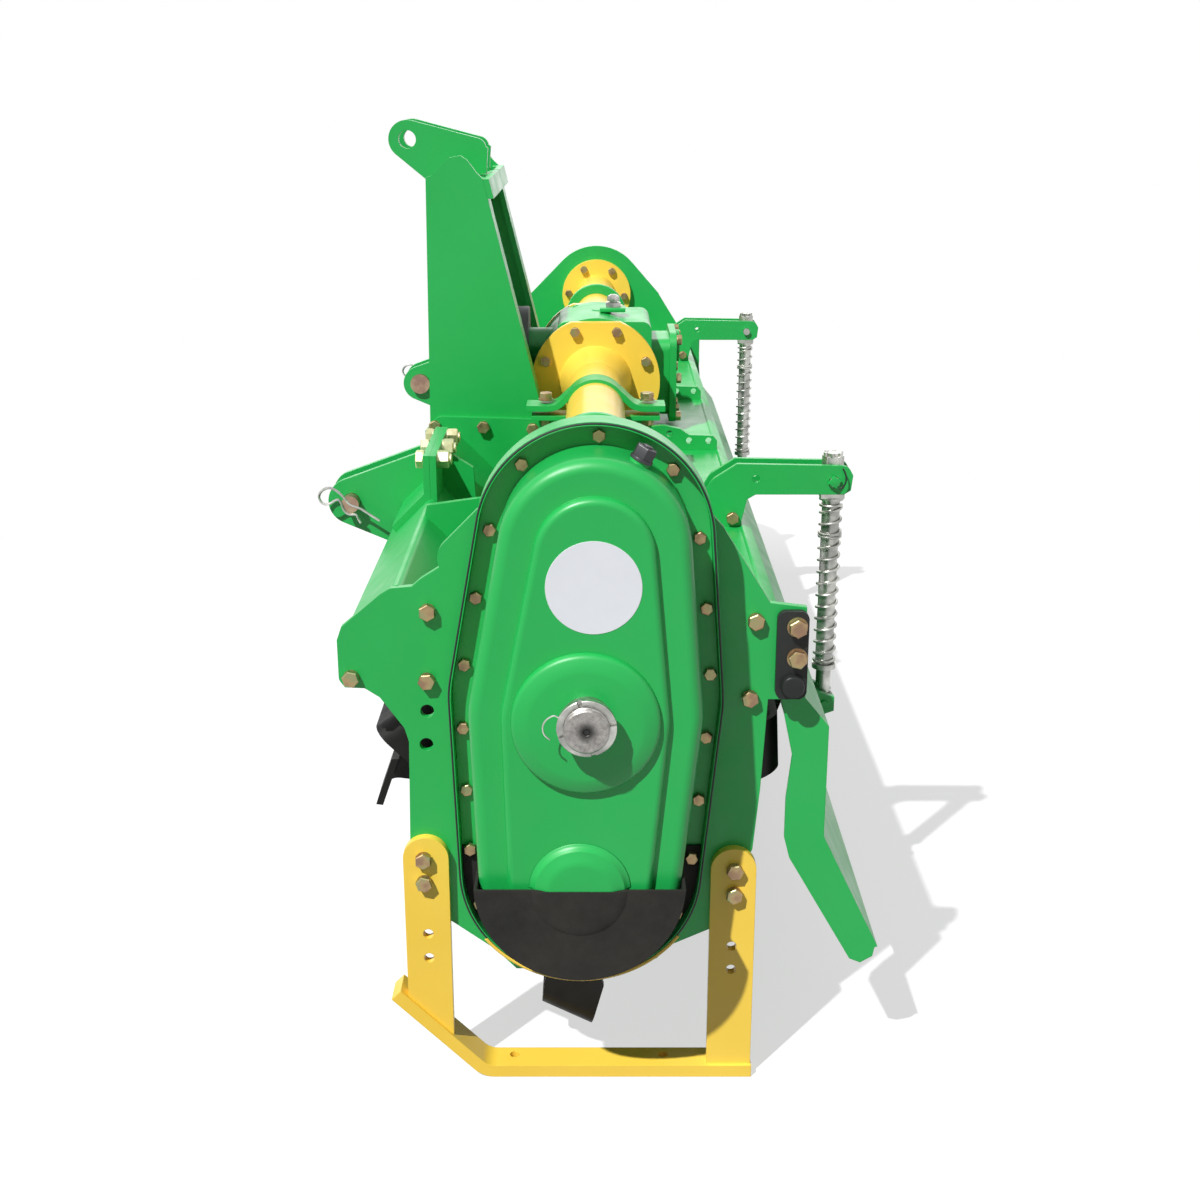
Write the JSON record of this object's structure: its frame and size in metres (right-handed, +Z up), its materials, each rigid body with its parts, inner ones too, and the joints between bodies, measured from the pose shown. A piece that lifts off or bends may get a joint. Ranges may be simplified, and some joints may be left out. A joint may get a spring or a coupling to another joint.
{
  "type": "rotary tiller",
  "caption": "Tractor-mounted rotary tiller with side gear case, hitch frame, tine rotor, skids and a sprung trailing board.",
  "frame": {"origin": "on the ground under the middle of the whole machine", "axes": "+X to the rear where the trailing board is, +Y away from the side gear case, +Z up; skid bottoms at z = 0"},
  "size_m": [0.65, 2.033, 0.987],
  "materials": {
    "green_paint": "gloss",
    "yellow_paint": "gloss",
    "black_paint": "satin",
    "zinc_steel": "satin",
    "gold_zinc": "satin",
    "grey_plastic": "matte"
  },
  "bodies": {
    "frame": {"far_cross_plate": "green_paint", "far_cross_tube": "yellow_paint", "far_hinge_strap": "black_paint", "far_link_bracket": "green_paint", "far_link_pin": "gold_zinc", "far_mast_plate": "green_paint", "far_rotor_bearing": "green_paint", "far_saddle": "green_paint", "far_side_plate": "green_paint", "far_skid": "yellow_paint", "far_spring_arm": "green_paint", "far_strap": "green_paint", "far_tube_cap": "green_paint", "front_beam": "green_paint", "gearbox": "green_paint", "gearbox_rear_cover": "green_paint", "gearcase_cover": "green_paint", "gearcase_guard": "black_paint", "gearcase_housing": "green_paint", "hood": "green_paint", "idler_axle": "zinc_steel", "mast_crosspiece": "green_paint", "near_cross_plate": "green_paint", "near_cross_tube": "yellow_paint", "near_hinge_strap": "black_paint", "near_link_bracket": "green_paint", "near_link_pin": "gold_zinc", "near_mast_plate": "green_paint", "near_saddle": "green_paint", "near_side_plate": "green_paint", "near_skid": "yellow_paint", "near_spring_arm": "green_paint", "near_strap": "green_paint", "pto_shield": "grey_plastic", "top_clevis": "green_paint"},
    "rotor": {"rotor_shaft": "green_paint", "rotor_tines": "black_paint"},
    "pto_stub": {"input_shaft": "zinc_steel"},
    "board": {"trailing_board": "green_paint"},
    "near_trunnion": {"near_trunnion": "zinc_steel", "near_spring": "zinc_steel"},
    "far_trunnion": {"far_trunnion": "zinc_steel", "far_spring": "zinc_steel"},
    "near_rod": {"near_spring_rod": "zinc_steel"},
    "far_rod": {"far_spring_rod": "zinc_steel"}
  },
  "joints": [
    {"name": "rotor_spin", "type": "hinge", "parent": "frame", "child": "rotor", "pos_m": [0.003, 0.0565, 0.275], "axis": [0, 1, 0], "continuous": true},
    {"name": "pto_spin", "type": "hinge", "parent": "frame", "child": "pto_stub", "pos_m": [-0.155, 0.0565, 0.657], "axis": [1, 0, 0], "continuous": true},
    {"name": "board_lift", "type": "hinge", "parent": "frame", "child": "board", "pos_m": [0.218, 0.0565, 0.458], "axis": [0, -1, 0], "range_deg": [0, 40]},
    {"name": "near_trunnion_swivel", "type": "hinge", "parent": "frame", "child": "near_trunnion", "pos_m": [0.299, -0.5295, 0.593], "axis": [0, -1, 0], "range_deg": [0, 20.92]},
    {"name": "near_rod_slide", "type": "slide", "parent": "near_trunnion", "child": "near_rod", "axis": [0, 0, 1], "range_m": [0, 0.06968], "deforming": ["near_spring"]},
    {"name": "far_trunnion_swivel", "type": "hinge", "parent": "frame", "child": "far_trunnion", "pos_m": [0.299, 0.6425, 0.593], "axis": [0, -1, 0], "range_deg": [0, 20.92]},
    {"name": "far_rod_slide", "type": "slide", "parent": "far_trunnion", "child": "far_rod", "axis": [0, 0, 1], "range_m": [0, 0.06968], "deforming": ["far_spring"]}
  ],
  "couplings": [
    {"joint": "pto_spin", "follows": "rotor_spin", "ratio": 2.45},
    {"joint": "near_trunnion_swivel", "follows": "board_lift", "ratio": 0.523},
    {"joint": "near_rod_slide", "follows": "board_lift", "m_per_rad": 0.099809},
    {"joint": "far_trunnion_swivel", "follows": "board_lift", "ratio": 0.523},
    {"joint": "far_rod_slide", "follows": "board_lift", "m_per_rad": 0.099809}
  ]
}
